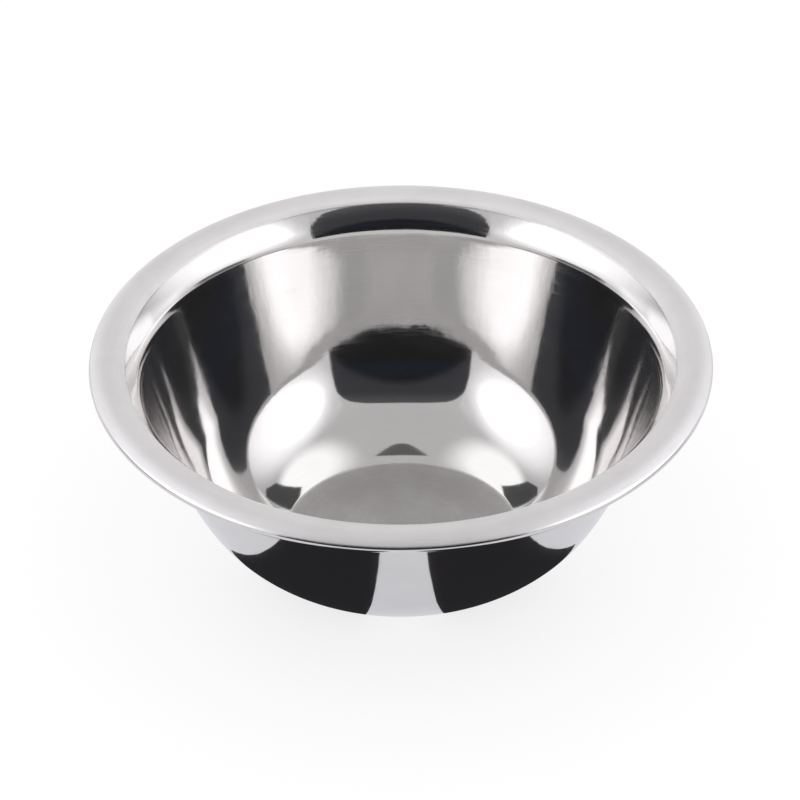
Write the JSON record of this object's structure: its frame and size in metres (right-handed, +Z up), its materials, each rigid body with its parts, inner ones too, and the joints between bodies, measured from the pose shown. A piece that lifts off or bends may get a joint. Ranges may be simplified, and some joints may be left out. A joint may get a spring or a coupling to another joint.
{
  "type": "pet food bowl",
  "caption": "Round pressed steel pet bowl with a flat base, a leaning wall, and an arched rim that ends in a small edge curl; it holds food or water.",
  "frame": {"origin": "centre of the base's underside, on the surface that the bowl stands on", "axes": "+Z up along the bowl's axis; the bowl is round, so +X and +Y are free, and the pictured side faces -Y"},
  "size_m": [0.21, 0.21, 0.076],
  "materials": {
    "polished_steel": "mirror polished stainless steel, with a satin floor"
  },
  "bodies": {
    "root": {"bowl": "polished_steel"}
  },
  "joints": []
}
